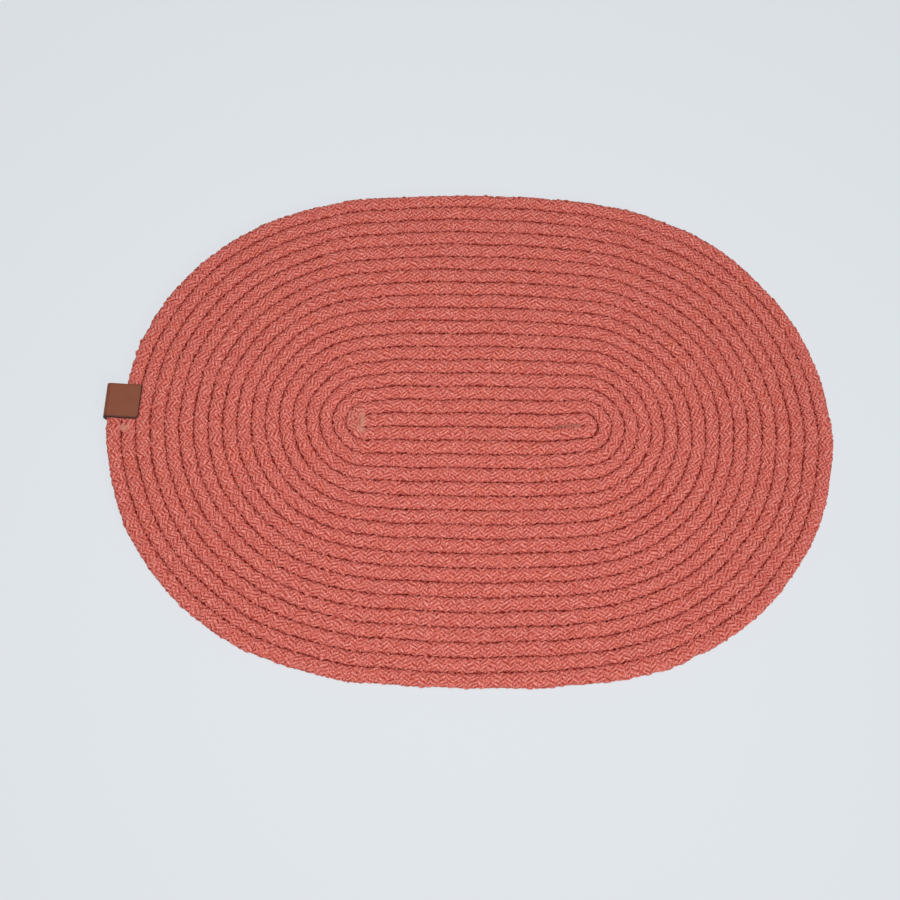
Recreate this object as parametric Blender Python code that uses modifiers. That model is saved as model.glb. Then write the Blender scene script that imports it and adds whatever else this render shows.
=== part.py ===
"""Oval placemat wound from one braided cord, with a leather tag folded over its left edge.

Metres, +Z up. The mat lies on z = 0 with its long side along X, and the origin is below the middle
of the whole part. The cord is wound flat about two centres half a cord apart in Y: the half turns at
the right end share one centre, those at the left end the other, so the rows step out by one cord on
each turn. Neighbouring turns are sewn together along the grooves and form one ribbed solid.
"""

import math

import bmesh
import bpy
from mathutils import Vector

# The winding
CORD_PITCH = 0.0085  # groove to groove, before the ends stretch and the long sides bow
TURNS = 18  # rows of cord on each side of the middle groove
STRAIGHT = 0.129  # length of the straight rows, between the two winding centres
END_STRETCH = 1.036  # the turns at both ends lie this much wider in X
SIDE_BOW = 0.0415  # the rows lie this share further out in Y at the middle of the long sides
BOW_REACH = 0.1215  # distance in X from the middle at which the bow has died away
RIM_BULGE = 0.0006  # no neighbour presses on the outermost side, so it stands out this much further

# The cord, sewn flat
CORD_THICKNESS = 0.0065
GROOVE_DEPTH = 0.0019
SHOULDER = 0.27  # share of a row from its groove up to its flat crown

# The leather tag
LEATHER = 0.0012
TAG_WIDTH = 0.0222  # along the mat's edge
TAG_LEAF = 0.0221  # from the fold to the end of a leaf
TAG_MIDDLE_Y = 0.0134
TAG_TURN = math.radians(-2.8)
TAG_FOLD_RADIUS = 0.0024
TAG_CORNER = 0.0028  # rounding of the two corners towards the front
TAG_CORNER_STEPS = 3
FOLD_GAP = 0.0004  # between the mat's edge and the inside of the fold
REST_GAP = 0.0003  # between pieces that rest on each other

# Facets
RIGHT_STEPS = 20  # of the half turns at the right end
LOWER_LEFT_STEPS = 10
UPPER_LEFT_STEPS = 10
STRAIGHT_STEPS = 4
FOLD_STEPS = 4  # of each quarter bend of the tag
CORD_END_PAST_LEFT = math.radians(3)  # how far past the leftmost point the cord's outer end lies
MERGE = 0.00001

HALF_STRAIGHT = STRAIGHT / 2
RIGHT_CENTRE = Vector((HALF_STRAIGHT, 0, 0))
LEFT_CENTRE = Vector((-HALF_STRAIGHT, CORD_PITCH / 2, 0))
CROWN_Z = CORD_THICKNESS / 2  # above the cord's middle plane
GROOVE_Z = CROWN_Z - GROOVE_DEPTH
RIGHT_REACH = HALF_STRAIGHT + END_STRETCH * TURNS * CORD_PITCH + RIM_BULGE
LEFT_REACH = HALF_STRAIGHT + END_STRETCH * (TURNS + 0.5) * CORD_PITCH + RIM_BULGE
FOLD_X = -LEFT_REACH - FOLD_GAP - LEATHER  # the tag's outermost face
TAG_REACH = FOLD_X - TAG_WIDTH / 2 * math.sin(abs(TAG_TURN))  # the tag's leftmost corner
MID_SHIFT = -(RIGHT_REACH + TAG_REACH) / 2  # brings the whole part's middle over the origin


def srgb_to_linear(channel):
    """One channel of an sRGB colour, 0 to 255, as a linear value."""
    value = channel / 255
    return value / 12.92 if value <= 0.04045 else ((value + 0.055) / 1.055) ** 2.4


def make_material(name, colour, roughness):
    """A Principled material of one sRGB colour."""
    material = bpy.data.materials.new(name)
    material.use_nodes = True
    shader = material.node_tree.nodes["Principled BSDF"]
    shader.inputs["Base Color"].default_value = (*map(srgb_to_linear, colour), 1)
    shader.inputs["Roughness"].default_value = roughness
    shader.inputs["Metallic"].default_value = 0
    return material


def add_object(name, bm, collection, material=None):
    """Turns a bmesh into an object of the collection."""
    mesh = bpy.data.meshes.new(name)
    bm.to_mesh(mesh)
    bm.free()
    item = bpy.data.objects.new(name, mesh)
    collection.objects.link(item)
    if material:
        mesh.materials.append(material)
    return item


def sweep(bm, edges, steps, centre=(0, 0, 0), angle=0.0, move=(0, 0, 0)):
    """Carries edges about a vertical axis, or along move in all, and returns the edges at the far end."""
    verts = list({v for e in edges for v in e.verts})
    step = Vector(move) / steps
    made = bmesh.ops.spin(
        bm, geom=verts + list(edges), cent=centre, axis=(0, 0, 1), dvec=step, angle=angle, steps=steps
    )
    return [g for g in made["geom_last"] if isinstance(g, bmesh.types.BMEdge)]


def add_row_section(bm):
    """Edges across all rows at the start of the right end, from the middle groove to the outer edge."""
    points = []
    for row in range(TURNS):
        points.append((row, GROOVE_Z))
        points.append((row + SHOULDER, CROWN_Z))
        points.append((row + 1 - SHOULDER, CROWN_Z))
    points.append((TURNS, GROOVE_Z))
    verts = [bm.verts.new((HALF_STRAIGHT, across * CORD_PITCH, z)) for across, z in points]
    return [bm.edges.new(pair) for pair in zip(verts, verts[1:])]


def farthest(edge, centre):
    """Distance from centre, seen from above, of the edge's farther end."""
    return max((v.co.xy - centre.xy).length for v in edge.verts)


def wind_upper_half(bm):
    """The top face of the spiral: right half turns, straight rows, then left half turns."""
    back_rows = add_row_section(bm)
    front_rows = sweep(bm, back_rows, RIGHT_STEPS, centre=RIGHT_CENTRE, angle=-math.pi)
    to_left = (-STRAIGHT, 0, 0)
    back_ends = sweep(bm, back_rows, STRAIGHT_STEPS, move=to_left)
    front_ends = sweep(bm, front_rows, STRAIGHT_STEPS, move=to_left)

    # The cord starts at the left centre with a rounded end, which turns with the rows around it.
    start_slope = [e for e in back_ends if all(v.co.y < 1.5 * SHOULDER * CORD_PITCH for v in e.verts)]
    lower = math.pi / 2 + CORD_END_PAST_LEFT
    turned = sweep(
        bm, front_ends + start_slope, LOWER_LEFT_STEPS, centre=LEFT_CENTRE, angle=-lower
    )
    # The outermost turn stops here, and the rest close the oval.
    inner_reach = (TURNS - 0.4) * CORD_PITCH
    inner = [e for e in turned if farthest(e, LEFT_CENTRE) < inner_reach]
    sweep(bm, inner, UPPER_LEFT_STEPS, centre=LEFT_CENTRE, angle=lower - math.pi)
    bmesh.ops.remove_doubles(bm, verts=bm.verts, dist=MERGE)
    cap_rim = [
        e for e in bm.edges if e.is_boundary and farthest(e, LEFT_CENTRE) < CORD_PITCH / 2
    ]
    bmesh.ops.edgeloop_fill(bm, edges=cap_rim)


def shape_oval(bm):
    """Stretches both ends in X and bows the long sides out in Y."""
    for v in bm.verts:
        past_centre = abs(v.co.x) - HALF_STRAIGHT
        if past_centre > 0:
            v.co.x = math.copysign(HALF_STRAIGHT + END_STRETCH * past_centre, v.co.x)
        phase = min(abs(v.co.x) / BOW_REACH, 1) * math.pi / 2
        v.co.y *= 1 + SIDE_BOW * math.cos(phase) ** 2


def bulge_rim(bm, rim):
    """Moves the outermost side out, square to its edges as seen from above."""
    outward = {v: Vector((0, 0, 0)) for e in rim for v in e.verts}
    for e in rim:
        a, b = (v.co for v in e.verts)
        square = Vector((b.y - a.y, a.x - b.x, 0)).normalized()
        inside = e.link_faces[0].calc_center_median() - (a + b) / 2
        for v in e.verts:
            outward[v] += -square if square.dot(inside) > 0 else square
    for v, direction in outward.items():
        v.co += direction.normalized() * RIM_BULGE


def make_mat(collection, pocket):
    """The wound cord: its upper half mirrored down, less the pocket for the tag's lower leaf."""
    bm = bmesh.new()
    wind_upper_half(bm)
    shape_oval(bm)
    rim = [e for e in bm.edges if e.is_boundary]
    bulge_rim(bm, rim)
    skirt = bmesh.ops.extrude_edge_only(bm, edges=rim)["geom"]
    for v in (g for g in skirt if isinstance(g, bmesh.types.BMVert)):
        v.co.z = 0
    bmesh.ops.recalc_face_normals(bm, faces=bm.faces)
    cord = make_material("braided_cotton", (218, 114, 105), 0.9)
    mat = add_object("wound_cord_mat", bm, collection, cord)
    mat.location = (MID_SHIFT, 0, CORD_THICKNESS / 2)
    mirror = mat.modifiers.new("lower_half", "MIRROR")
    mirror.use_axis = (False, False, True)
    mirror.merge_threshold = MERGE
    cut = mat.modifiers.new("tag_pocket", "BOOLEAN")
    cut.operation = "DIFFERENCE"
    cut.object = pocket
    mat.data.shade_smooth()
    mat.data.set_sharp_from_angle(angle=math.radians(50))


def fold_side_view(low, high):
    """Middle of the leather in side view (x from the fold, z), from the lower leaf's end to the upper's."""
    radius = TAG_FOLD_RADIUS
    skin = LEATHER / 2
    points = [(TAG_LEAF, low)]
    for centre_z, start in ((low + radius, math.pi * 1.5), (high - radius, math.pi)):
        for step in range(FOLD_STEPS + 1):
            turn = start - step * math.pi / 2 / FOLD_STEPS
            points.append((skin + radius + radius * math.cos(turn), centre_z + radius * math.sin(turn)))
    points.append((TAG_LEAF, high))
    return points


def make_tag(collection):
    """A leather strip folded over the left edge, one leaf below the cord and one above."""
    bm = bmesh.new()
    low = LEATHER / 2
    high = CORD_THICKNESS + REST_GAP + LEATHER / 2
    side = [bm.verts.new((x, -TAG_WIDTH / 2, z)) for x, z in fold_side_view(low, high)]
    edges = [bm.edges.new(pair) for pair in zip(side, side[1:])]
    sweep(bm, edges, 1, move=(0, TAG_WIDTH, 0))
    bmesh.ops.bevel(
        bm, geom=[side[0], side[-1]], offset=TAG_CORNER, segments=TAG_CORNER_STEPS, affect="VERTICES"
    )
    bmesh.ops.recalc_face_normals(bm, faces=bm.faces)
    leather = make_material("brown_leather", (130, 75, 55), 0.55)
    tag = add_object("leather_tag", bm, collection, leather)
    tag.location = (FOLD_X + MID_SHIFT, TAG_MIDDLE_Y, 0)
    tag.rotation_euler.z = TAG_TURN
    shell = tag.modifiers.new("leather", "SOLIDIFY")
    shell.thickness = LEATHER
    shell.offset = 0
    shell.use_even_offset = True
    tag.data.shade_smooth()
    tag.data.set_sharp_from_angle(angle=math.radians(50))


def make_pocket(collection):
    """Cutter for the hollow that the tag's lower leaf presses into the cord's underside."""
    bm = bmesh.new()
    bmesh.ops.create_cube(bm, size=1)
    depth = LEATHER + REST_GAP
    below = 0.002
    length = TAG_LEAF + 2 * REST_GAP + below
    bmesh.ops.scale(bm, vec=(length, TAG_WIDTH + 4 * REST_GAP, depth + below), verts=bm.verts)
    middle = (TAG_LEAF + 2 * REST_GAP - below) / 2
    bmesh.ops.translate(bm, vec=(middle, 0, (depth - below) / 2), verts=bm.verts)
    pocket = add_object("tag_pocket_cutter", bm, collection)
    pocket.location = (FOLD_X + MID_SHIFT, TAG_MIDDLE_Y, 0)
    pocket.rotation_euler.z = TAG_TURN
    pocket.hide_render = True
    pocket.display_type = "WIRE"
    return pocket


def main():
    for item in list(bpy.data.objects):
        bpy.data.objects.remove(item, do_unlink=True)
    parts = bpy.data.collections.new("OvalCordPlacemat")
    cutters = bpy.data.collections.new("Cutters")
    for collection in (parts, cutters):
        bpy.context.scene.collection.children.link(collection)
    make_mat(parts, make_pocket(cutters))
    make_tag(parts)


main()
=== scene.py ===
import math

import bpy
import numpy as np
from mathutils import Matrix, Vector


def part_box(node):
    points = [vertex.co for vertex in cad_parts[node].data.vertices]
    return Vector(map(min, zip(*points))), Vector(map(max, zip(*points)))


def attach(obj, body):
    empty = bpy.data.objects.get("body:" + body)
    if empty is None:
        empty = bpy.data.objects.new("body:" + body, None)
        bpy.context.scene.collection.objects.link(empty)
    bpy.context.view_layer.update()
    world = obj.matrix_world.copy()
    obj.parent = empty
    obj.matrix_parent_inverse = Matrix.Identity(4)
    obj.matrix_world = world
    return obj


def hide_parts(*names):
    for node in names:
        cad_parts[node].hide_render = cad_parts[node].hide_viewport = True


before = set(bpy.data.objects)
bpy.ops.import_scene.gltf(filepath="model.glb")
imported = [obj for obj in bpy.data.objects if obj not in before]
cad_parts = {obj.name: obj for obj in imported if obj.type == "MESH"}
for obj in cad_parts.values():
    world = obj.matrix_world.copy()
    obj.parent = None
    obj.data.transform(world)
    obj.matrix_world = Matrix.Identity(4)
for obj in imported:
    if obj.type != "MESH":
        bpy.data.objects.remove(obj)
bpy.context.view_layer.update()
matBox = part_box("wound_cord_mat")
print("frame loaded:", ", ".join(sorted(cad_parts)))

# Lengths are in millimetres up to the moment when a mesh is made.
mm = 0.001

# The winding follows the CAD solid's spiral, apart from its unevenness and the push on the inner turns.
winding = {
    "pitch": 8.5,  # groove to groove, before the ends stretch and the long sides bow
    "turns": 18,
    "straight": 129.0,  # between the two winding centres
    "endStretch": 1.036,
    "sideBow": 0.0415,
    "bowReach": 121.5,
    "thickness": 6.5,
    "rimBulge": 0.6,  # no neighbour presses on the outermost side
    "startPast": 3.8,  # the cut start of the cord lies this far left of the left centre
    "endPast": math.radians(3),  # the outer end lies this far past the leftmost point, under the tag
    "waver": ((61.0, 0.22, 0.4), (37.0, 0.16, 2.1), (23.0, 0.09, 4.4)),  # its unevenness: period, size, phase
    "waverLean": (0.35, -0.3),  # how far these waves run aslant, in X and in Y
    "waverTurn": 1.3,  # phase of the waves in Y, ahead of those in X
    # The inner half turns are pushed outwards, sideways and flatter: by how much, and how far that reaches
    "push": {"out": (3.0, 39.0), "sideways": (1.2, 58.0), "flatter": (0.033, 70.0), "from": 50.0},
}
halfPitch = winding["pitch"] / 2
halfStraight = winding["straight"] / 2
crown = winding["thickness"] / 2  # above the cord's middle plane


def hexColour(code):
    # sRGB hex to linear: c / 12.92 up to 0.04045, and ((c + 0.055) / 1.055) ^ 2.4 above it
    channels = np.array([int(code[i:i + 2], 16) for i in (0, 2, 4)]) / 255
    linear = np.where(channels <= 0.04045, channels / 12.92, ((channels + 0.055) / 1.055) ** 2.4)
    return (*linear.tolist(), 1.0)


def smoothStep(low, high, value):
    # 3t^2 - 2t^3, with t running from 0 at low to 1 at high
    t = np.clip((value - low) / (high - low), 0, 1)
    return t * t * (3 - 2 * t)


def waves(along, rows, turn=0.0):
    # Sum of sines, each of its own period, size and phase
    return sum(size * np.sin(2 * np.pi * along / period + phase + turn) for period, size, phase in rows)


def endReach(turns):
    # From the middle of the straight rows out to the rim: half a row + stretch * turns * pitch + bulge
    return halfStraight + winding["endStretch"] * turns * winding["pitch"] + winding["rimBulge"]


midShift = matBox[1].x / mm - endReach(winding["turns"])  # the winding's own middle, in the part's frame


def layRoute():
    # One record for each straight row and half turn: its length, its radius (0 if straight), its centre or
    # start, and the angle at which the cord's outer side faces where it begins. The winding runs clockwise.
    w = winding
    legs = []
    for turn in range(w["turns"]):
        tight = (turn + 0.5) * w["pitch"]
        wide = (turn + 1) * w["pitch"]
        early = w["startPast"] if turn == 0 else 0
        sweep = math.pi if turn < w["turns"] - 1 else math.pi / 2 + w["endPast"]
        legs.append((w["straight"] + early, 0, -halfStraight - early, tight, math.pi / 2))
        legs.append((math.pi * tight, tight, halfStraight, 0, math.pi / 2))
        legs.append((w["straight"], 0, halfStraight, -tight, -math.pi / 2))
        legs.append((sweep * wide, wide, -halfStraight, halfPitch, -math.pi / 2))
    columns = [(name, float) for name in ("length", "radius", "x", "y", "facing")]
    return np.array(legs, dtype=columns)


route = layRoute()
legEnds = np.cumsum(route["length"])
cordLength = legEnds[-1]
firstLeftTurn = 3  # its place among the legs
lastLeftTurn = firstLeftTurn + 4 * (winding["turns"] - 2)  # the last one with the outer cord beside it
freeFrom = legEnds[lastLeftTurn - 1] + (math.pi / 2 + winding["endPast"]) * route["radius"][lastLeftTurn]


def alongCord(s, off):
    # Flat place of a point off mm outside the centre line at length s. On a row it is start + t * heading, on
    # a half turn centre + radius * (cos a, sin a), with a = facing - t / radius.
    leg = np.clip(np.searchsorted(legEnds, s, side="right"), 0, len(route) - 1)
    at = route[leg]
    t = s - legEnds[leg] + at["length"]
    bent = at["radius"] > 0
    angle = at["facing"] - np.where(bent, t / np.where(bent, at["radius"], 1), 0)
    outX, outY = np.cos(angle), np.sin(angle)
    # The first left turn is pressed out of shape, inwards up to the cut end of the cord.
    room = np.minimum(halfPitch, winding["startPast"] / np.maximum(np.abs(outX), 1e-6))
    off = off * np.where((leg == firstLeftTurn) & (off < 0), (winding["pitch"] - room) / halfPitch, 1)
    x = at["x"] + np.where(bent, (at["radius"] + off) * outX, t * outY + off * outX)
    y = at["y"] + np.where(bent, (at["radius"] + off) * outY, -t * outX + off * outY)
    return x, y


def pushTurns(x, y):
    # Each push is size * exp(-(distance from the winding centre / reach)^2), and fades out along the rows
    push = winding["push"]
    far = np.hypot(np.maximum(np.abs(x) - halfStraight, 0), y)
    out, sideways, flatter = (
        push[kind][0] * np.exp(-(far / push[kind][1]) ** 2) for kind in ("out", "sideways", "flatter")
    )
    share = smoothStep(push["from"], halfStraight, np.abs(x))
    return share * np.sign(x) * out, share * (np.sign(x) * sideways - y * flatter)


def ovalPlan(x, y):
    # Ends stretched in X, long sides bowed out by bow * cos^2(pi x / 2 reach), and all of it slightly wavy
    w = winding
    past = np.maximum(np.abs(x) - halfStraight, 0)
    wide = np.sign(x) * (np.minimum(np.abs(x), halfStraight) + w["endStretch"] * past)
    phase = np.clip(np.abs(wide) / w["bowReach"], 0, 1) * np.pi / 2
    deep = y * (1 + w["sideBow"] * np.cos(phase) ** 2)
    leanX, leanY = w["waverLean"]
    waveX = waves(deep + leanX * wide, w["waver"])
    waveY = waves(wide + leanY * deep, w["waver"], turn=w["waverTurn"])
    pushX, pushY = pushTurns(wide, deep)
    return wide + waveX + pushX + midShift, deep + waveY + pushY


tag = {
    "leather": 1.2,
    "width": 22.2,  # along the mat's edge
    "leaf": 22.1,  # from the fold to the end of a leaf
    "middleY": 14.1,
    "turn": math.radians(-2.8),
    "foldRadius": 2.4,
    "corner": 2.8,  # rounding of the corners towards the front
    "foldGap": 0.4,  # between the mat's edge and the inside of the fold
    "restGap": 0.3,  # between a leaf and the cord
    "pocketEdge": (1.2, 0.2),  # the cord gives way from this far past the lower leaf, and fully from there
    "edgeRound": 0.35,  # how far a cut edge bulges
    "endRound": 0.45,  # length over which a cut end gets thin
    "painted": (0.3, 0.65),  # from a cut edge, the paint and painted shadow cover the face up to here and fade out there
    "paintedBack": (0.0, 0.3),  # the same from the edge towards the back
    "steps": {"leaf": 24, "bend": 9, "rise": 4, "face": 15, "edge": 7},  # points of the mesh in each stretch
    "endRings": (0, 0.15, 0.45, 0.9, 1.4, 2.0, 2.8),  # where the rings near a cut end lie
}
foldX = midShift - endReach(winding["turns"] + 0.5) - tag["foldGap"] - tag["leather"]
tagCos, tagSin = math.cos(tag["turn"]), math.sin(tag["turn"])


def onTag(x, y):
    # Place in the tag's own frame: along the leaf from the fold, and across it from the middle
    dx, dy = x - foldX, y - tag["middleY"]
    return dx * tagCos + dy * tagSin, dy * tagCos - dx * tagSin


def giveWay(x, y, z):
    # Above the tag's lower leaf the cord is pressed flatter: lift + z * (1 - lift / thickness)
    along, across = onTag(x, y)
    start, full = tag["pocketEdge"]
    inside = smoothStep(tag["leaf"] + start, tag["leaf"] + full, along)
    inside = inside * smoothStep(tag["width"] / 2 + start, tag["width"] / 2 + full, np.abs(across))
    lift = inside * (tag["leather"] + 2 * tag["restGap"])
    z = np.where(inside > 0, np.minimum(z, winding["thickness"]), np.maximum(z, 0))
    return lift + z * (1 - lift / winding["thickness"])


def placeOnCord(s, off, z):
    # A point of the mat from its length along the cord, its offset from the centre line and its height
    x, y = ovalPlan(*alongCord(s, off))
    return np.stack([x, y, giveWay(x, y, z)], axis=-1)


def makeObject(name, points, faces, material, node, smooth=None):
    # A mesh from arrays of points in mm and of quads
    mesh = bpy.data.meshes.new(name)
    mesh.from_pydata(points * mm, [], faces)
    mesh.polygons.foreach_set("use_smooth", np.ones(len(faces), bool) if smooth is None else smooth)
    mesh.materials.append(material)
    mesh.update()
    item = bpy.data.objects.new(name, mesh)
    bpy.context.scene.collection.objects.link(item)
    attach(item, "root")
    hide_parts(node)
    return item


def addNumbers(item, name, values, domain="POINT"):
    # One number for each point or face, for the materials to read
    layer = item.data.attributes.new(name, "FLOAT", domain)
    layer.data.foreach_set("value", values.astype(np.float32).ravel())


def addMap(item, name, places):
    # One place on a flat map for each corner of each face
    layer = item.data.uv_layers.new(name=name)
    layer.uv.foreach_set("vector", places.astype(np.float32).ravel())


def tubeFaces(rings, around):
    # Quads of a closed tube: ring i runs on to ring i + 1, and column j to column j + 1, around to column 0
    i, j = np.meshgrid(np.arange(rings - 1), np.arange(around), indexing="ij")
    k = (j + 1) % around
    quads = [i * around + j, (i + 1) * around + j, (i + 1) * around + k, i * around + k]
    return np.stack(quads, axis=-1).reshape(-1, 4)


def capFaces(first, around, flip):
    # A tube's end closed by a ladder of quads, from column j to the column as far back from the last one
    j = np.arange((around - 1) // 2)
    ladder = np.stack([j, j + 1, around - 2 - j, around - 1 - j], axis=-1) + first
    return ladder[:, ::-1] if flip else ladder


section = {
    "squareness": 2.7,  # power of the rounded section; 2 is an ellipse
    "pressed": 1.10,  # neighbours press its sides flat from here inwards, in half widths
    "strands": 10,  # strands round the cord: 4 on top, 4 underneath and 1 at each side
    "samples": 4000,
    "softening": 60,  # samples over which the normals are evened out
}


def traceSection():
    # Superellipse (a cos^(2/n) t, b sin^(2/n) t) cut off at the neighbours, then measured round in strands
    # from the inner shoulder over the top. Columns: offset, height, and the direction it faces.
    samples, strands = section["samples"], section["strands"]
    t = np.linspace(0, 2 * np.pi, samples, endpoint=False)
    power = 2 / section["squareness"]
    off = -np.sign(np.cos(t)) * np.abs(np.cos(t)) ** power * halfPitch * section["pressed"]
    off = np.clip(off, -halfPitch, halfPitch)
    up = np.sign(np.sin(t)) * np.abs(np.sin(t)) ** power * crown
    step = np.hypot(np.roll(off, -1) - off, np.roll(up, -1) - up)
    girth = step.sum()
    walked = np.concatenate([[0], np.cumsum(step)[:-1]])
    topMiddle = walked[samples // 4]
    place = ((walked - topMiddle) / girth * strands + 2) % strands
    even = np.linspace(0, strands, samples, endpoint=False)
    order = np.argsort(place)
    off = np.interp(even, place[order], off[order], period=strands)
    up = np.interp(even, place[order], up[order], period=strands)
    # The normal is the direction along the section, turned a quarter and evened out over its neighbours
    alongOff, alongUp = np.roll(off, -1) - np.roll(off, 1), np.roll(up, -1) - np.roll(up, 1)
    kernel = np.ones(section["softening"]) / section["softening"]
    faceOff = np.convolve(np.tile(-alongUp, 3), kernel, "same")[samples:2 * samples]
    faceUp = np.convolve(np.tile(alongOff, 3), kernel, "same")[samples:2 * samples]
    size = np.hypot(faceOff, faceUp)
    return {
        "girth": girth,
        "place": even,
        "off": off,
        "up": up,
        "faceOff": faceOff / size,
        "faceUp": faceUp / size,
    }


sectionLine = traceSection()
strandWidth = sectionLine["girth"] / section["strands"]


def readSection(column, name):
    # One of the section's values at places counted in strands round the cord
    strands = section["strands"]
    return np.interp(column % strands, sectionLine["place"], sectionLine[name], period=strands)


braid = {
    "band": 3.85,  # length over which all strands on top slant the same way
    "bandSpread": 0.26,  # share by which a band is longer or shorter than that
    "gapDepth": 0.8,  # from a strand's crown down to the gap beside it
    "gapSpread": 0.5,  # share by which a gap is deeper or shallower
    "roundness": 2.4,  # power of a strand's back: high for a broad back and a narrow gap
    "dip": 0.25,  # how much lower a strand is near both ends of its float
    "heightSpread": 0.2,
    "shoulderSpread": 0.35,  # more of it where the cord turns down into a groove
    "shoulderFrom": (0.6, 1.6),  # below the crown, where that begins and is full
    "sideSpread": 0.25,  # in strands
    "swell": 0.25,  # outwards, in the middle of a float on the shoulder
    "swellFrom": (0.4, 1.3),
    "squeeze": 0.35,  # neighbours press this far into each other
    "squeezeFrom": (1.6, 2.4),
    "squeezeFlat": 0.8,  # share of the relief that is lost there
    "grooveRelief": 0.5,  # share of the relief that counts in how dark a groove's painted shade is
    "hollowShade": 0.75,  # painted shade that a gap of full depth gets, as a share
    "mattedTop": 0.92,  # level to which a matted place is filled up, in crowns
    "mattedFrom": (0.6, 0.9),  # how flat it is where that begins and is full
    # How far the ends of the floats lie before or behind each other: times round the cord, period, mm, phase
    "stagger": ((2, 17.0, 0.5, 0.0), (3, 11.3, 0.4, 2.0), (5, 29.0, 0.3, 4.1)),
    "staggerEnds": 6.0,  # it fades out over this length at the cord's ends
    "freeRun": 8.0,  # length over which the rim swells where its last neighbour ends
    "unevenness": ((83.0, 0.05, 0.3), (47.0, 0.05, 1.9), (29.0, 0.04, 5.0)),  # of the cord's height, in mm
    "stops": (0.0, 0.12, 0.5, 0.88),  # places of the mesh rows in a band
    "seed": 7,
}

# Marks on the top: places that are matted, pale and flat, and painted shade where a needle left a hole
marks = {
    "firstTurn": {"at": (-71.0, 3.8), "half": (6.2, 8.6), "pale": 0.35, "flat": 0.15},
    "cutEnd": {"at": (-67.3, 1.9), "half": (2.6, 7.6), "pale": 1.0, "flat": 0.6},
    "belowTag": {"at": (-213.5, -3.0), "half": (3.7, 2.7), "pale": 1.0, "flat": 1.0},
    # painted shade only: the hole itself is not modelled
    "needleHole": {"at": (79.0, -0.5), "half": (1.0, 1.4), "dark": 1.0},
}
markRim = (0.75, 1.15)  # where a mark begins to fade and where it ends, in its half size


def markShare(x, y, kind):
    # Largest share of any mark: 1 inside its ellipse, with a soft rim, times how strong it is
    share = np.zeros_like(x)
    for mark in marks.values():
        far = np.hypot((x - mark["at"][0]) / mark["half"][0], (y - mark["at"][1]) / mark["half"][1])
        share = np.maximum(share, (1 - smoothStep(*markRim, far)) * mark.get(kind, 0))
    return share


# Where the rim stands out or in: length along the cord, by how much, and how far that reaches
rimDents = (
    (12192, 0.9, 26), (12386, -1.5, 36), (12618, -1.4, 50), (12770, -0.6, 45),
    (12888, 0.8, 34), (13004, -1.3, 28), (13145, 0.4, 30), (13262, -0.5, 28),
)


def rimShift(s):
    # The rim's bulge and its dents, each size * exp(-((s - middle) / reach)^2)
    dents = sum(size * np.exp(-((s - middle) / reach) ** 2) for middle, size, reach in rimDents)
    return winding["rimBulge"] + dents


def layBands():
    # Where each band of the braid begins, with each band a little longer or shorter than the usual one
    random = np.random.default_rng(braid["seed"])
    count = round(cordLength / braid["band"])
    lengths = 1 + braid["bandSpread"] * random.uniform(-1, 1, count)
    return np.concatenate([[0], np.cumsum(lengths)]) * cordLength / lengths.sum(), random


# Each float, which is what shows of a strand in one band, has its own height, side shift, tone and gap
bandStarts, random = layBands()
floatCount = (len(bandStarts) + 1, section["strands"])
floatHeight = random.uniform(-1, 1, floatCount) * braid["heightSpread"]
floatSide = random.uniform(-1, 1, floatCount) * braid["sideSpread"]
floatTone = random.uniform(0, 1, floatCount)
floatGap = 1 + random.uniform(-1, 1, floatCount) * braid["gapSpread"]


def belowCrown(up, span):
    # 0 from the crown down to the first depth of the span, and 1 from the second one on
    return smoothStep(crown - span[0], crown - span[1], np.abs(up))


def strandPhase(band):
    # Strands of even bands lie half a strand further round than those of odd bands.
    return np.where(band % 2 == 0, 0.5, 0.0)


def strandShape(column, band):
    # How far up a strand's round back a column lies, 1 on its crown and 0 in the gap, and which strand it is
    phase = strandPhase(band)
    back = 0.5 + 0.5 * np.cos(2 * np.pi * (column - phase))
    strand = np.floor(column - phase + 0.5).astype(int) % section["strands"]
    return back, strand


def bandRelief(column, band):
    # Height above the strand's crown, below 0 in the gaps, and sideways shift, in mm and strands
    back, strand = strandShape(column, band)
    gap = braid["gapDepth"] * floatGap[band, strand]
    shoulder = belowCrown(readSection(column, "up"), braid["shoulderFrom"])
    spread = 1 + shoulder * braid["shoulderSpread"] / braid["heightSpread"]
    height = floatHeight[band, strand] * spread * back - gap * (1 - back) ** braid["roundness"]
    return height, floatSide[band, strand] * back


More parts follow.
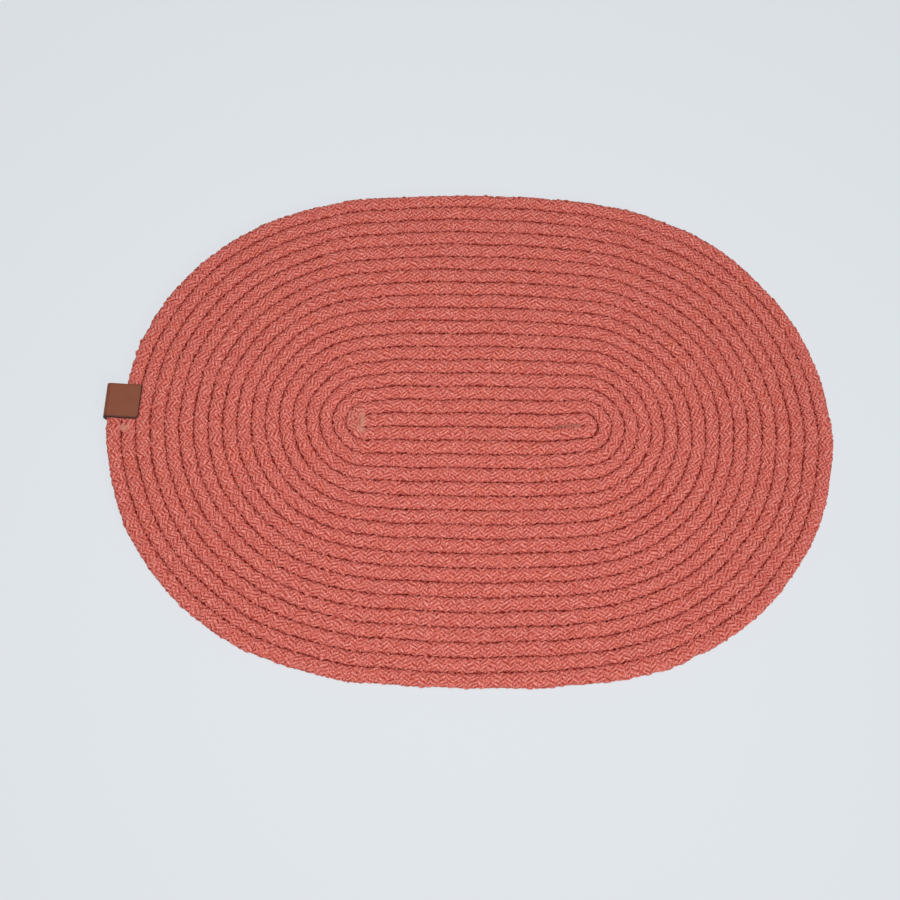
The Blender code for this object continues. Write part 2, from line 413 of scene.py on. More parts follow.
def cordSurface(firstBand, lastBand, columns):
    # Points of a stretch of cord. The rows of the mesh stand across it and its columns follow the strands:
    # they go one strand round in one band and back in the next, as the strands' visible floats do.
    # Point = section at its place + height * the way it faces, with place = column + swing + side shift.
    stops = np.array(braid["stops"])
    band = np.append(np.repeat(np.arange(firstBand, lastBand), len(stops)), lastBand)
    share = np.append(np.tile(stops, lastBand - firstBand), 0.0)
    nextStart = np.append(bandStarts, bandStarts[-1] + braid["band"])[band + 1]
    s = bandStarts[band] + share * (nextStart - bandStarts[band])
    swing = np.where(band % 2 == 0, share - 0.5, 0.5 - share)
    s, share, band, swing = (a[:, None] for a in (s, share, band, swing))
    column = columns[None, :]
    height, side = bandRelief(column, band)
    before, sideBefore = bandRelief(column, np.maximum(band - 1, 0))
    atStart = share == 0
    height = np.where(atStart, (height + before) / 2, height)
    side = np.where(atStart, (side + sideBefore) / 2, side)
    height = height - braid["dip"] * np.abs(2 * share - 1) ** 2 * ~atStart
    place = column + swing + side
    off, up = readSection(place, "off"), readSection(place, "up")
    # The ends of the floats lie a little before or behind each other: sum of sines round and along the cord
    around = 2 * np.pi * place / section["strands"]
    lean = sum(
        size * np.sin(times * around + 2 * np.pi * s / period + phase)
        for times, period, size, phase in braid["stagger"]
    )
    fade = braid["staggerEnds"]
    lean = lean * smoothStep(0, fade, s) * smoothStep(cordLength, cordLength - fade, s)
    along = np.clip(s + lean, 0, cordLength)
    free = smoothStep(freeFrom, freeFrom + braid["freeRun"], along) * (off > 0)
    # On the shoulders the middles of the floats swell out into the groove. Below it neighbours are pressed
    # together, so that nothing shows between them.
    height = height + braid["swell"] * belowCrown(up, braid["swellFrom"]) * (1 - (2 * share - 1) ** 2)
    # How far below the crown, in crowns: a groove gets painted shade where it is deep, and more between the
    # floats
    groove = (crown - np.abs(up) - braid["grooveRelief"] * height) / crown * (1 - free)
    pressed = belowCrown(up, braid["squeezeFrom"]) * (1 - free)
    height = height * (1 - braid["squeezeFlat"] * pressed) + braid["squeeze"] * pressed
    off = off + rimShift(along) * free * off / halfPitch * (1 - (up / crown) ** 2)
    onTop = up > 0
    flat = markShare(*ovalPlan(*alongCord(along, off)), "flat") * onTop
    height = height * (1 - flat)
    off = off + height * readSection(place, "faceOff")
    up = up + height * readSection(place, "faceUp")
    up = up + waves(along, braid["unevenness"]) * smoothStep(0, crown, up)
    up = up + smoothStep(*braid["mattedFrom"], flat) * np.maximum(braid["mattedTop"] * crown - up, 0)
    points = placeOnCord(along, off, up + crown)
    x, y = points[..., 0], points[..., 1]
    return {
        "points": points,
        "s": along,
        "band": band,
        # Painted shade in the gaps between the strands and in the grooves, with the needle hole's
        "hollow": np.clip(-height / braid["gapDepth"], 0, 1) * braid["hollowShade"],
        "groove": np.maximum(groove, markShare(x, y, "dark") * onTop),
        "worn": markShare(x, y, "pale") * onTop,
    }


# The flat map on which a cord's colours can be kept: even strips, with the two cut ends on top
bakeSheet = {
    "margin": 0.0012,  # inside each strip
    "stretch": 1.6,  # on the map, a quad is about this much higher than long
    "capRoom": 0.012,  # height left free above the strips
    "capShare": 0.8,  # of that room, which a cut end fills
    "capPlaces": (0.002, 0.03),  # left sides of the two cut ends
    "capHeight": 0.9,  # from the top down to their lower sides, in that room
}


def cornerGrid(values):
    # Values at the four corners of each quad of a grid, in tubeFaces' order
    return np.stack([values[:-1, :-1], values[1:, :-1], values[1:, 1:], values[:-1, 1:]], axis=-1)


def stripMap(rings, columns):
    # The unrolled cord in strips one above the other: u = place within the strip, v = strip + place around
    margin = bakeSheet["margin"]
    strips = max(1, round(math.sqrt(rings / columns / bakeSheet["stretch"])))
    perStrip = math.ceil((rings - 1) / strips)
    ring = np.arange(rings - 1)
    strip, within = ring // perStrip, ring % perStrip
    tall = (1 - bakeSheet["capRoom"]) / strips
    u0 = margin + within / perStrip * (1 - 2 * margin)
    u1 = margin + (within + 1) / perStrip * (1 - 2 * margin)
    v = strip[:, None] * tall + margin + np.arange(columns + 1)[None, :] / columns * (tall - 2 * margin)
    u = np.stack([u0, u1, u1, u0], axis=-1)[:, None, :] + 0 * v[:, :-1, None]
    v = np.stack([v[:, :-1], v[:, :-1], v[:, 1:], v[:, 1:]], axis=-1)
    return np.stack([u, v], axis=-1).reshape(-1, 2)


def capMap(faces, firstPoint, columns, left):
    # A cut end laid flat in its corner of the map, by its offset and its height
    ring = np.stack([readSection(columns, "off"), readSection(columns, "up")], axis=-1)
    spread = ring - ring.min(axis=0)
    spread = spread / spread.max() * bakeSheet["capRoom"] * bakeSheet["capShare"]
    corner = np.array([left, 1 - bakeSheet["capRoom"] * bakeSheet["capHeight"]])
    return corner + spread[(faces - firstPoint).ravel()]


def makeCord(name, firstBand, lastBand, columns, material):
    # A stretch of cord as a tube closed at both ends, with its numbers and maps for the material
    surface = cordSurface(firstBand, lastBand, columns)
    rings, around = surface["points"].shape[:2]
    lastPoint = (rings - 1) * around
    sides = tubeFaces(rings, around)
    startCap = capFaces(0, around, flip=False)
    endCap = capFaces(lastPoint, around, flip=True)
    faces = np.concatenate([sides, startCap, endCap])
    smooth = np.arange(len(faces)) < len(sides)
    points = surface["points"].reshape(-1, 3)
    item = makeObject(name, points, faces, material, "wound_cord_mat", smooth)
    for kind in ("hollow", "groove", "worn"):
        addNumbers(item, kind, surface[kind])
    # Map of the strands: length along the cord, and breadth counted from the crown of a strand
    closed = np.append(columns, section["strands"])
    bandOfFace = surface["band"][:-1] + 0 * sides[:, 0].reshape(rings - 1, around)
    across = cornerGrid(np.repeat(closed[None, :], rings, axis=0)) - strandPhase(bandOfFace)[..., None]
    along = cornerGrid(np.repeat(surface["s"][:, :1], around + 1, axis=1))
    strandMap = np.stack([along * mm, across * strandWidth * mm], axis=-1).reshape(-1, 2)
    capCorners = np.zeros((8 * len(startCap), 2))
    addMap(item, "Strands", np.concatenate([strandMap, capCorners]))
    # Each float is dyed in its own tone
    strand = strandShape((closed[:-1] + closed[1:]) / 2 + 0 * bandOfFace, bandOfFace)[1]
    tone = floatTone[bandOfFace, strand].ravel()
    capTone = np.full(2 * len(startCap), 0.5)
    addNumbers(item, "tone", np.append(tone, capTone), "FACE")
    startLeft, endLeft = bakeSheet["capPlaces"]
    startMap = capMap(startCap, 0, columns, startLeft)
    endMap = capMap(endCap, lastPoint, columns, endLeft)
    addMap(item, "OFBake", np.concatenate([stripMap(rings, around), startMap, endMap]))
    item.data.uv_layers["Strands"].active_render = True
    return item, bandStarts[lastBand] - bandStarts[firstBand]


def layColumns(fine):
    # Places of the mesh's columns round the cord: four to a strand where it shows, two to a strand elsewhere
    strands = np.arange(section["strands"])
    steps = [np.arange(4) / 4 if k in fine else np.arange(2) / 2 for k in strands]
    return np.concatenate([k + step for k, step in zip(strands, steps)])


def addNode(tree, kind, inputs=(), **settings):
    # A node of one kind with its own settings, and numbers or links for its inputs: a tuple in their order,
    # or a dictionary by their names or places
    node = tree.nodes.new("ShaderNode" + kind)
    for key, value in settings.items():
        setattr(node, key, value)
    named = inputs if isinstance(inputs, dict) else dict(enumerate(inputs))
    for key, value in named.items():
        if isinstance(value, bpy.types.NodeSocket):
            tree.links.new(value, node.inputs[key])
        else:
            node.inputs[key].default_value = value
    return node


def startMaterial(name):
    material = bpy.data.materials.new(name)
    material.use_nodes = True
    return material, material.node_tree, material.node_tree.nodes["Principled BSDF"]


cotton = {
    "coral": "e07469",
    "orange": "e2765e",
    "pink": "e17b71",
    "shadow": "a2281c",  # painted shade between the fibres and yarns
    "deep": "86100a",  # painted shade in the gaps and grooves
    "worn": "d18776",  # where the yarn is matted
    "fuzzAndSheen": "ffccbe",  # pale fibres that stand up, partly painted highlight, and the painted sheen on the crowns
    "patch": 15.0,  # the dye takes unevenly along the cord, in patches of this length
    "yarns": 3,  # soft yarns side by side in a strand
    "slub": (2.4, 0.85),  # length and width of a thick or thin place in a yarn
    "fleck": 0.85,
    "loose": 1.5,  # size of the places where the braid lies loosely, with deeper painted shade in its gaps
    "roughness": 0.92,
    "relief": 0.2,
    "ridgeHeight": 0.15,  # share of the relief, beside that of the slubs
    "fleckHeight": 1.2,
    # Ranges: what runs between the first two numbers comes out between the last two
    "patchEdge": (0.35, 0.65, 0.0, 1.0),
    "orangeShare": (0.35, 1.0, 0.0, 0.6),
    "paintedGapLine": (0.22, 0.44, 0.0, 0.8),  # painted shade of the gap beside a strand: across a strand, in strands from its crown
    "looseShare": (0.38, 0.56, 0.1, 1.0),
    "looseDepth": (0.1, 1.0, 0.5, 1.1),
    "hollow": (0.35, 0.8, 0.0, 0.5),
    "dashes": (0.1, 1.0, -0.05, 0.04),
    "groove": (0.3, 0.48, 0.0, 0.85),  # painted shade of the grooves: depth below the crown, in crowns, to darkness
    "slubShade": (0.3, 0.7, 0.86, 1.12),
    "fleckShade": (0.3, 0.7, 0.45, 1.35),
    "yarnShade": (-1.0, 0.4, 0.93, 1.0),
    "matted": (0.5, 0.95, 1.0, 0.15),
    "fleckFuzzAndSheen": (0.56, 0.74, 0.0, 0.28),
    "crownSheen": (0.03, 0.23, 0.23, 0.0),  # painted sheen on a strand's crown: across a strand, in strands from its crown
    # in the flecks, where the painted sheen on the crowns shows
    "sheenFleckShare": (0.4, 0.56, 0.1, 1.0),
}


def dyeYarn(tree, place, tone, worn):
    # Each float a slightly different red, orange in places, and paler where it is worn
    colours = {key: hexColour(cotton[key]) for key in ("coral", "orange", "pink", "worn")}
    noise = {"Vector": place, "Scale": 1 / (cotton["patch"] * mm), "Detail": 3.0, "Roughness": 0.6}
    patches = addNode(tree, "TexNoise", noise).outputs["Fac"]
    patches = addNode(tree, "MapRange", (patches, *cotton["patchEdge"])).outputs[0]
    orange = addNode(tree, "Math", (tone, patches), operation="MULTIPLY").outputs[0]
    orange = addNode(tree, "MapRange", (orange, *cotton["orangeShare"])).outputs[0]
    red = {0: tone, 6: colours["pink"], 7: colours["coral"]}
    red = addNode(tree, "Mix", red, data_type="RGBA").outputs[2]
    red = addNode(tree, "Mix", {0: orange, 6: red, 7: colours["orange"]}, data_type="RGBA").outputs[2]
    return addNode(tree, "Mix", {0: worn, 6: red, 7: colours["worn"]}, data_type="RGBA").outputs[2]


def paintedShadePlaces(tree, place, fromCrown, hollow, groove):
    # Painted shade, the darkest of three: a thin gap beside each strand, half a strand from its crown, the
    # hollows where the braid lies loosely, and the grooves between the rows, from a third to half of the way
    # down
    noise = {"Vector": place, "Scale": 1 / (cotton["loose"] * mm), "Detail": 1.0}
    loose = addNode(tree, "TexNoise", noise).outputs["Fac"]
    loose = addNode(tree, "MapRange", (loose, *cotton["looseShare"])).outputs[0]
    line = addNode(tree, "MapRange", (fromCrown, *cotton["paintedGapLine"])).outputs[0]
    line = addNode(tree, "Math", (line, loose), operation="MULTIPLY").outputs[0]
    depth = addNode(tree, "MapRange", (loose, *cotton["looseDepth"])).outputs[0]
    depth = addNode(tree, "Math", (depth, hollow), operation="MULTIPLY").outputs[0]
    depth = addNode(tree, "MapRange", (depth, *cotton["hollow"])).outputs[0]
    dark = addNode(tree, "Math", (line, depth), operation="MAXIMUM").outputs[0]
    dashes = addNode(tree, "MapRange", (loose, *cotton["dashes"])).outputs[0]
    groove = addNode(tree, "Math", (groove, dashes), operation="ADD").outputs[0]
    groove = addNode(tree, "MapRange", (groove, *cotton["groove"])).outputs[0]
    return addNode(tree, "Math", (groove, dark), operation="MAXIMUM").outputs[0]


def makeCotton():
    # Dyed cotton yarn, carded and braided: quite matt, with a painted sheen along the crowns and painted shade
    # in the gaps and grooves, and each strand a slightly different red from its neighbours.
    material, tree, shader = startMaterial("braidedDyedCotton")
    colours = {key: hexColour(cotton[key]) for key in ("shadow", "deep", "fuzzAndSheen")}
    place = addNode(tree, "TexCoord").outputs["Object"]
    strands = addNode(tree, "UVMap", uv_map="Strands").outputs["UV"]
    tone, hollow, groove, worn = (
        addNode(tree, "Attribute", attribute_name=name).outputs["Fac"]
        for name in ("tone", "hollow", "groove", "worn")
    )
    colour = dyeYarn(tree, place, tone, worn)
    # Yarns: three ridges side by side in a strand, cos(2 pi * yarns across), for the bump and for painted shade
    # between them
    across = addNode(tree, "SeparateXYZ", (strands,)).outputs["Y"]
    across = addNode(tree, "Math", (across, strandWidth * mm), operation="DIVIDE").outputs[0]
    swing = addNode(tree, "Math", (across, 2 * math.pi * cotton["yarns"]), operation="MULTIPLY").outputs[0]
    ridge = addNode(tree, "Math", (swing,), operation="COSINE").outputs[0]
    fromCrown = addNode(tree, "Math", (across, 0.5), operation="PINGPONG").outputs[0]
    dark = paintedShadePlaces(tree, place, fromCrown, hollow, groove)
    # Slubs, where a yarn is thicker or thinner for a short way, and flecks where fibres stand up. Both are
    # drawn about twice as coarse as real fibres, which are too fine to show.
    long, wide = cotton["slub"]
    slubPlace = addNode(tree, "Mapping", {"Vector": strands, "Scale": (1 / (long * mm), 1 / (wide * mm), 1)})
    slubs = {"Vector": slubPlace.outputs[0], "Scale": 1.0, "Detail": 1.0}
    slubs = addNode(tree, "TexNoise", slubs).outputs["Fac"]
    flecks = {"Vector": place, "Scale": 1 / (cotton["fleck"] * mm), "Detail": 1.0}
    flecks = addNode(tree, "TexNoise", flecks).outputs["Fac"]
    slubShade = addNode(tree, "MapRange", (slubs, *cotton["slubShade"]), clamp=False).outputs[0]
    fleckShade = addNode(tree, "MapRange", (flecks, *cotton["fleckShade"])).outputs[0]
    yarnShade = addNode(tree, "MapRange", (ridge, *cotton["yarnShade"])).outputs[0]
    shade = addNode(tree, "Math", (slubShade, fleckShade), operation="MULTIPLY").outputs[0]
    shade = addNode(tree, "Math", (shade, yarnShade), operation="MULTIPLY").outputs[0]
    # Where the yarn is matted, the shades, the painted shade of the gaps and the painted sheen nearly vanish
    matted = addNode(tree, "MapRange", (worn, *cotton["matted"])).outputs[0]
    shade = addNode(tree, "MapRange", (matted, 0.0, 1.0, 1.0, shade)).outputs[0]
    # Darker towards the shadow colour: painted shade between the yarns, with the slubs' and flecks' uneven tone
    shaded = {0: shade, 6: colours["shadow"], 7: colour}
    colour = addNode(tree, "Mix", shaded, data_type="RGBA", clamp_factor=False).outputs[2]
    # Pale fibres in the flecks, partly painted highlight, and a painted sheen along the crown of each strand
    fuzzAndSheen = addNode(tree, "MapRange", (flecks, *cotton["fleckFuzzAndSheen"])).outputs[0]
    crownSheen = addNode(tree, "MapRange", (fromCrown, *cotton["crownSheen"])).outputs[0]
    sheenFleckShare = addNode(tree, "MapRange", (flecks, *cotton["sheenFleckShare"])).outputs[0]
    sheenFleckShare = addNode(tree, "Math", (sheenFleckShare, matted), operation="MULTIPLY").outputs[0]
    fuzzAndSheen = addNode(tree, "Math", (crownSheen, sheenFleckShare, fuzzAndSheen), operation="MULTIPLY_ADD").outputs[0]
    colour = addNode(tree, "Mix", {0: fuzzAndSheen, 6: colour, 7: colours["fuzzAndSheen"]}, data_type="RGBA").outputs[2]
    # Painted shade in the gaps and grooves, in the deep colour
    dark = addNode(tree, "Math", (dark, matted), operation="MULTIPLY").outputs[0]
    colour = addNode(tree, "Mix", {0: dark, 6: colour, 7: colours["deep"]}, data_type="RGBA").outputs[2]
    tree.links.new(colour, shader.inputs["Base Color"])
    height = addNode(tree, "Math", (ridge, cotton["ridgeHeight"], slubs), operation="MULTIPLY_ADD").outputs[0]
    height = addNode(tree, "Math", (flecks, cotton["fleckHeight"], height), operation="MULTIPLY_ADD").outputs[0]
    bump = addNode(tree, "Bump", {"Height": height, "Strength": 0.7, "Distance": cotton["relief"] * mm})
    tree.links.new(bump.outputs[0], shader.inputs["Normal"])
    shader.inputs["Roughness"].default_value = cotton["roughness"]
    shader.inputs["Specular IOR Level"].default_value = 0.0
    return material


cottonMaterial = makeCotton()
sides = layColumns(fine=(0, 1, 2, 3))  # the strands on top
outerSides = layColumns(fine=(0, 1, 2, 3, 4, 5))  # and those on the side that shows at the rim
outerTurnStart = int(np.searchsorted(bandStarts, legEnds[lastLeftTurn]))
innerCount = 4  # pieces of cord inside the outer turn, so that none has too many faces
cuts = [round(outerTurnStart * k / innerCount) for k in range(innerCount + 1)]
cords = []
for number, (first, last) in enumerate(zip(cuts, cuts[1:]), start=1):
    cords.append(makeCord(f"braided_cord_{number}", first, last, sides, cottonMaterial))
cordEnd = len(bandStarts) - 1
cords.append(makeCord("braided_cord_outer_turn", outerTurnStart, cordEnd, outerSides, cottonMaterial))
for item, length in cords:
    print(f"{item.name}: {length:.0f} mm of cord, {2 * len(item.data.polygons)} triangles")


sewing = {
    "reach": 2.0,  # sideways from the groove to the needle holes
    "stitch": 4.5,  # along the groove from one needle hole to the next
    "thread": 0.42,
    "threadSides": 3,
    # Bends of the thread: share of a stitch, and height over the crown
    "topStops": ((0.0, -0.95), (0.2, -0.3), (0.5, -0.62), (0.8, -0.3)),
    "underStops": ((0.0, -0.4), (0.5, -0.95)),
    "colour": "e0796b",
    "patch": "bf5a4e",
    "patchLength": 3.0,
    "tack": {"start": 116.0, "end": 127.2, "reach": 1.7, "stitch": 1.0, "raised": 0.4},
    "knot": {"start": 127.6, "end": 131.2, "reach": 1.1, "stitch": 0.45, "raised": 0.1},
    "tackThread": 0.42 * 1.6,  # two threads pressed together
    "tackSides": 4,
    "tackColour": "cf8a78",
}


def makeThreadMaterial(name, colour):
    # Spun polyester sewing thread, dyed to the cotton's red: smoother than the yarn, with a faint gloss
    material, tree, shader = startMaterial(name)
    place = addNode(tree, "TexCoord").outputs["Object"]
    noise = {"Vector": place, "Scale": 1 / (sewing["patchLength"] * mm), "Detail": 2.0}
    patches = addNode(tree, "TexNoise", noise).outputs["Fac"]
    ends = {0: patches, 6: hexColour(colour), 7: hexColour(sewing["patch"])}
    tree.links.new(addNode(tree, "Mix", ends, data_type="RGBA").outputs[2], shader.inputs["Base Color"])
    shader.inputs["Roughness"].default_value = 0.6
    return material


def zigzag(start, end, groove, reach, stitch, stops):
    # Path of a zigzag seam: from one side of the groove to the other in each stitch, at the stops' heights
    count = int((end - start) / stitch)
    share = np.tile([row[0] for row in stops], count)
    height = np.tile([row[1] for row in stops], count)
    number = np.repeat(np.arange(count), len(stops))
    s = start + (number + share) * stitch
    side = np.where(number % 2 == 0, 2 * share - 1, 1 - 2 * share) * reach
    return s, groove + side, height


def threadTube(path, thickness, around):
    # A round thread carried along a path: centre + r (cos a * side + sin a * up) for each of its sides
    ahead = np.gradient(path, axis=0)
    ahead /= np.linalg.norm(ahead, axis=1, keepdims=True)
    side = np.cross(ahead, (0, 0, 1))
    side /= np.linalg.norm(side, axis=1, keepdims=True)
    up = np.cross(side, ahead)
    angle = np.pi / 2 + 2 * np.pi * np.arange(around) / around
    spread = np.cos(angle)[None, :, None] * side[:, None, :] + np.sin(angle)[None, :, None] * up[:, None, :]
    return (path[:, None, :] + spread * thickness / 2).reshape(-1, 3), tubeFaces(len(path), around)


def makeThreads(name, paths, thickness, around, material):
    # Several threads in one mesh, the faces of each counted on from the points before it
    points, faces, used = [], [], 0
    for path in paths:
        tubePoints, tubeQuads = threadTube(path, thickness, around)
        points.append(tubePoints)
        faces.append(tubeQuads + used)
        used += len(tubePoints)
    points, faces = np.concatenate(points), np.concatenate(faces)
    return makeObject(name, points, faces, material, "wound_cord_mat")


def makeSeam(name, stops, onTop, material):
    # The seam follows the middle groove first, then the groove on the outer side of every turn but the last
    reach, stitch = sewing["reach"], sewing["stitch"]
    middle = zigzag(0, winding["straight"], -halfPitch, reach, stitch, stops)
    spiral = zigzag(winding["startPast"], freeFrom, halfPitch, reach, stitch, stops)
    paths = [
        placeOnCord(s, off, 2 * crown + height if onTop else -height) for s, off, height in (middle, spiral)
    ]
    return makeThreads(name, paths, sewing["thread"], sewing["threadSides"], material)


def makeBarTack(material):
    # Close zigzag that locks the seam at the right end of the middle groove, and the thread's matted end
    paths, stops = [], sewing["topStops"]
    for run in (sewing["tack"], sewing["knot"]):
        s, off, height = zigzag(run["start"], run["end"], -halfPitch, run["reach"], run["stitch"], stops)
        paths.append(placeOnCord(s, off, np.minimum(2 * crown + height + run["raised"], 2 * crown)))
    return makeThreads("sewing_bar_tack", paths, sewing["tackThread"], sewing["tackSides"], material)


threadMaterial = makeThreadMaterial("spunPolyesterThread", sewing["colour"])
tackMaterial = makeThreadMaterial("spunPolyesterBarTack", sewing["tackColour"])
seams = [
    makeBarTack(tackMaterial),
    makeSeam("sewing_top", sewing["topStops"], True, threadMaterial),
    makeSeam("sewing_underside", sewing["underStops"], False, threadMaterial),
]
print("sewing:", sum(2 * len(item.data.polygons) for item in seams), "triangles")


leather = {
    "face": "905036",
    "patch": "7e432d",
    # edge paint, and painted shadow along the front edge and the cut ends
    "edgePaintAndShadow": "2c0f09",
    "cloud": 6.0,
    "grain": 0.45,
    "relief": 0.08,
    "cloudHeight": 0.6,  # share of the relief, beside that of the pores
}


def makeLeather():
    # Full-grain cowhide, vegetable tanned, dyed brown and waxed: a satin face with fine pores and edges that
    # are painted dark, with painted shadow along the front edge and the cut ends.
    material, tree, shader = startMaterial("waxedBrownCowhide")
    place = addNode(tree, "TexCoord").outputs["Object"]
    edge = addNode(tree, "Attribute", attribute_name="edgePaintAndShadow").outputs["Fac"]
    noise = {"Vector": place, "Scale": 1 / (leather["cloud"] * mm), "Detail": 4.0}
    clouds = addNode(tree, "TexNoise", noise).outputs["Fac"]
    cells = {"Vector": place, "Scale": 1 / (leather["grain"] * mm)}
    pores = addNode(tree, "TexVoronoi", cells).outputs["Distance"]
    ends = {0: clouds, 6: hexColour(leather["patch"]), 7: hexColour(leather["face"])}
    colour = addNode(tree, "Mix", ends, data_type="RGBA").outputs[2]
    ends = {0: edge, 6: colour, 7: hexColour(leather["edgePaintAndShadow"])}
    colour = addNode(tree, "Mix", ends, data_type="RGBA").outputs[2]
    tree.links.new(colour, shader.inputs["Base Color"])
    height = addNode(tree, "Math", (clouds, leather["cloudHeight"], pores), operation="MULTIPLY_ADD").outputs[0]
    bump = addNode(tree, "Bump", {"Height": height, "Strength": 0.35, "Distance": leather["relief"] * mm})
    tree.links.new(bump.outputs[0], shader.inputs["Normal"])
    shader.inputs["Roughness"].default_value = 0.55
    shader.inputs["Specular IOR Level"].default_value = 0.4
    return material


def foldPath():
    # Middle of the leather in side view: along the lower leaf to the fold, round it, and back over the mat
    skin = tag["leather"] / 2
    low, high = skin, winding["thickness"] + tag["restGap"] + skin
    radius, steps = tag["foldRadius"], tag["steps"]
    run = np.linspace(tag["leaf"], skin + radius, steps["leaf"])
    bend = np.linspace(0, np.pi / 2, steps["bend"])
    rise = np.linspace(low + radius, high - radius, steps["rise"])[1:-1]
    x = [run, skin + radius - radius * np.sin(bend[1:]), np.full(len(rise), skin)]
    x += [skin + radius - radius * np.cos(bend), run[::-1][1:]]
    z = [np.full(len(run), low), low + radius - radius * np.cos(bend[1:]), rise]
    z += [high - radius + radius * np.sin(bend), np.full(len(run) - 1, high)]
    return np.concatenate(x), np.concatenate(z)


def makeTag(material):
    # The strip's section, flat with rounded edges, carried along the side view of the fold. Near both ends
    # the edge towards the front runs in on a quarter circle, and the last rings close over the cut end.
    x, z = foldPath()
    length = np.concatenate([[0], np.cumsum(np.hypot(np.diff(x), np.diff(z)))])
    fine = np.array(tag["endRings"])
    between = length[(length > fine[-1]) & (length < length[-1] - fine[-1])]
    s = np.unique(np.concatenate([fine, between, length[-1] - fine]))
    x, z = np.interp(s, length, x), np.interp(s, length, z)
    aheadX, aheadZ = np.gradient(x, s), np.gradient(z, s)
    size = np.hypot(aheadX, aheadZ)
    fromEnd = np.minimum(s, length[-1] - s)
    corner = tag["corner"]
    inset = corner - np.sqrt(np.maximum(corner ** 2 - np.maximum(corner - fromEnd, 0) ** 2, 0))
    low = -tag["width"] / 2 + inset
    high = np.full(len(s), tag["width"] / 2)
    # Ring: across the outer face, round the edge, back across the inner face, and round the other edge
    flat = np.linspace(0, 1, tag["steps"]["face"])
    edge = np.linspace(np.pi / 2, -np.pi / 2, tag["steps"]["edge"])[1:-1]
    rim = tag["edgeRound"]
    share = np.concatenate([flat, np.ones(len(edge)), flat[::-1], np.zeros(len(edge))])
    bulge = np.concatenate([0 * flat, np.cos(edge) * rim, 0 * flat, -np.cos(edge) * rim])
    thick = np.concatenate([1 + 0 * flat, np.sin(edge), -1 + 0 * flat, -np.sin(edge)])
    closing = np.sqrt(np.clip(1 - (1 - np.minimum(fromEnd / tag["endRound"], 1)) ** 2, 0.02, 1))
    across = low[:, None] + rim + (high - low - 2 * rim)[:, None] * share + bulge
    off = thick * (tag["leather"] / 2 * closing)[:, None]
    along = x[:, None] - off * (aheadZ / size)[:, None]
    up = z[:, None] + off * (aheadX / size)[:, None]
    wx = foldX + along * tagCos - across * tagSin
    wy = tag["middleY"] + along * tagSin + across * tagCos
    rings, around = up.shape
    points = np.stack([wx, wy, up], axis=-1).reshape(-1, 3)
    faces = np.concatenate([
        tubeFaces(rings, around),
        capFaces(0, around, flip=False),
        capFaces((rings - 1) * around, around, flip=True),
    ])
    item = makeObject("leather_tag_strip", points, faces, material, "leather_tag")
    # The cut edges are painted dark, on the face as far as the brush ran over, with painted shadow along the
    # front edge and the cut ends
    fromEdge = np.minimum(across - low[:, None], fromEnd[:, None] + 0 * across)
    painted = 1 - smoothStep(*tag["painted"], fromEdge)
    painted = np.maximum(painted, 1 - smoothStep(*tag["paintedBack"], high[:, None] - across))
    addNumbers(item, "edgePaintAndShadow", painted)
    return item, length[-1]


tagItem, stripLength = makeTag(makeLeather())
print(f"tag: a strip {stripLength:.1f} mm long, {2 * len(tagItem.data.polygons)} triangles")


table = {
    "colour": "6e7072",
    "patch": "6c6e70",
    "glow": "dde2e7",
    "glowStrength": 0.81,
    "size": 6.0,  # metres
    "below": 0.05,
}


def makeTable():
    # Opal acrylic board lit from behind, so that the shadows on it are faint
    material, tree, shader = startMaterial("opalAcrylic")
    place = addNode(tree, "TexCoord").outputs["Object"]
    clouds = addNode(tree, "TexNoise", {"Vector": place, "Scale": 3.0}).outputs["Fac"]
    ends = {0: clouds, 6: hexColour(table["colour"]), 7: hexColour(table["patch"])}
    tree.links.new(addNode(tree, "Mix", ends, data_type="RGBA").outputs[2], shader.inputs["Base Color"])
    shader.inputs["Roughness"].default_value = 0.8
    shader.inputs["Emission Color"].default_value = hexColour(table["glow"])
    shader.inputs["Emission Strength"].default_value = table["glowStrength"]
    half, z = table["size"] / 2, -table["below"] * mm
    corners = [(-half, -half, z), (half, -half, z), (half, half, z), (-half, half, z)]
    mesh = bpy.data.meshes.new("table_top")
    mesh.from_pydata(corners, [], [(0, 1, 2, 3)])
    mesh.materials.append(material)
    item = bpy.data.objects.new("table_top", mesh)
    bpy.context.scene.collection.objects.link(item)


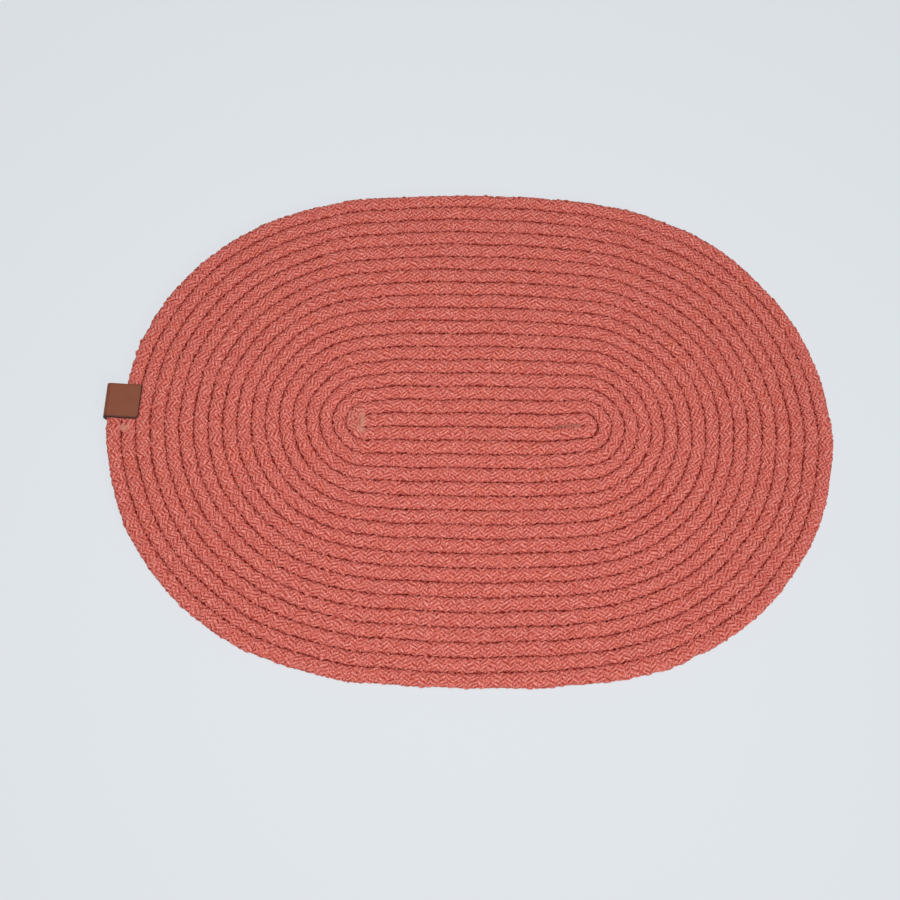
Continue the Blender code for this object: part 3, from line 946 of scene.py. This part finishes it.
# Soft boxes: places, aims and sizes in metres, and the spread in degrees
studio = {
    "world": "f6f5f2",
    "worldStrength": 0.3,
    "overhead": {
        "place": (-0.02, -0.15, 0.9),
        "aim": (0, -0.05, 0),
        "size": (0.4, 0.3),
        "watts": 3.05,
        "spread": 140,
    },
    "key": {
        "place": (2.7, -2.9, 2.35),
        "aim": (0, 0, 0),
        "size": (1.45, 1.45),
        "watts": 50,
        "spread": 180,
    },
}


def addSoftBox(name, place, aim, size, watts, spread):
    light = bpy.data.lights.new(name, "AREA")
    light.shape = "RECTANGLE"
    light.size, light.size_y = size
    light.energy = watts
    light.spread = math.radians(spread)
    item = bpy.data.objects.new(name, light)
    item.location = place
    item.rotation_euler = (Vector(aim) - Vector(place)).to_track_quat("-Z", "Y").to_euler()
    bpy.context.scene.collection.objects.link(item)


def lightStudio():
    world = bpy.data.worlds.new("studio")
    world.use_nodes = True
    background = world.node_tree.nodes["Background"]
    background.inputs["Color"].default_value = hexColour(studio["world"])
    background.inputs["Strength"].default_value = studio["worldStrength"]
    bpy.context.scene.world = world
    for name in ("overhead", "key"):
        addSoftBox(name, **studio[name])
    bpy.context.scene.view_settings.view_transform = "Standard"


# The camera as fitted to the grooves and the outline: it looks down at the point "aim" on the table
camera = {
    "aim": (-12.69, -13.73, 0.0),
    "distance": 696.24,
    "azimuth": math.radians(-5.878),
    "elevation": math.radians(74.515),
    "roll": math.radians(6.273),
    "lens": 44.77,
    "film": 36,
    "clip": (0.01, 20),  # metres
}


def placeCamera():
    # Back from the aim by distance * (sin az cos el, -cos az cos el, sin el), rolled about the line of sight
    azimuth, elevation = camera["azimuth"], camera["elevation"]
    back = Vector((
        math.sin(azimuth) * math.cos(elevation),
        -math.cos(azimuth) * math.cos(elevation),
        math.sin(elevation),
    ))
    item = bpy.data.objects.new("camera", bpy.data.cameras.new("camera"))
    item.data.lens = camera["lens"]
    item.data.sensor_width = camera["film"]
    item.data.clip_start, item.data.clip_end = camera["clip"]
    item.location = (Vector(camera["aim"]) + back * camera["distance"]) * mm
    turn = (-back).to_track_quat("-Z", "Y").to_matrix().to_4x4()
    item.rotation_euler = (turn @ Matrix.Rotation(camera["roll"], 4, "Z")).to_euler()
    bpy.context.scene.collection.objects.link(item)
    bpy.context.scene.camera = item


makeTable()
lightStudio()
placeCamera()
print("table, light and camera in place")
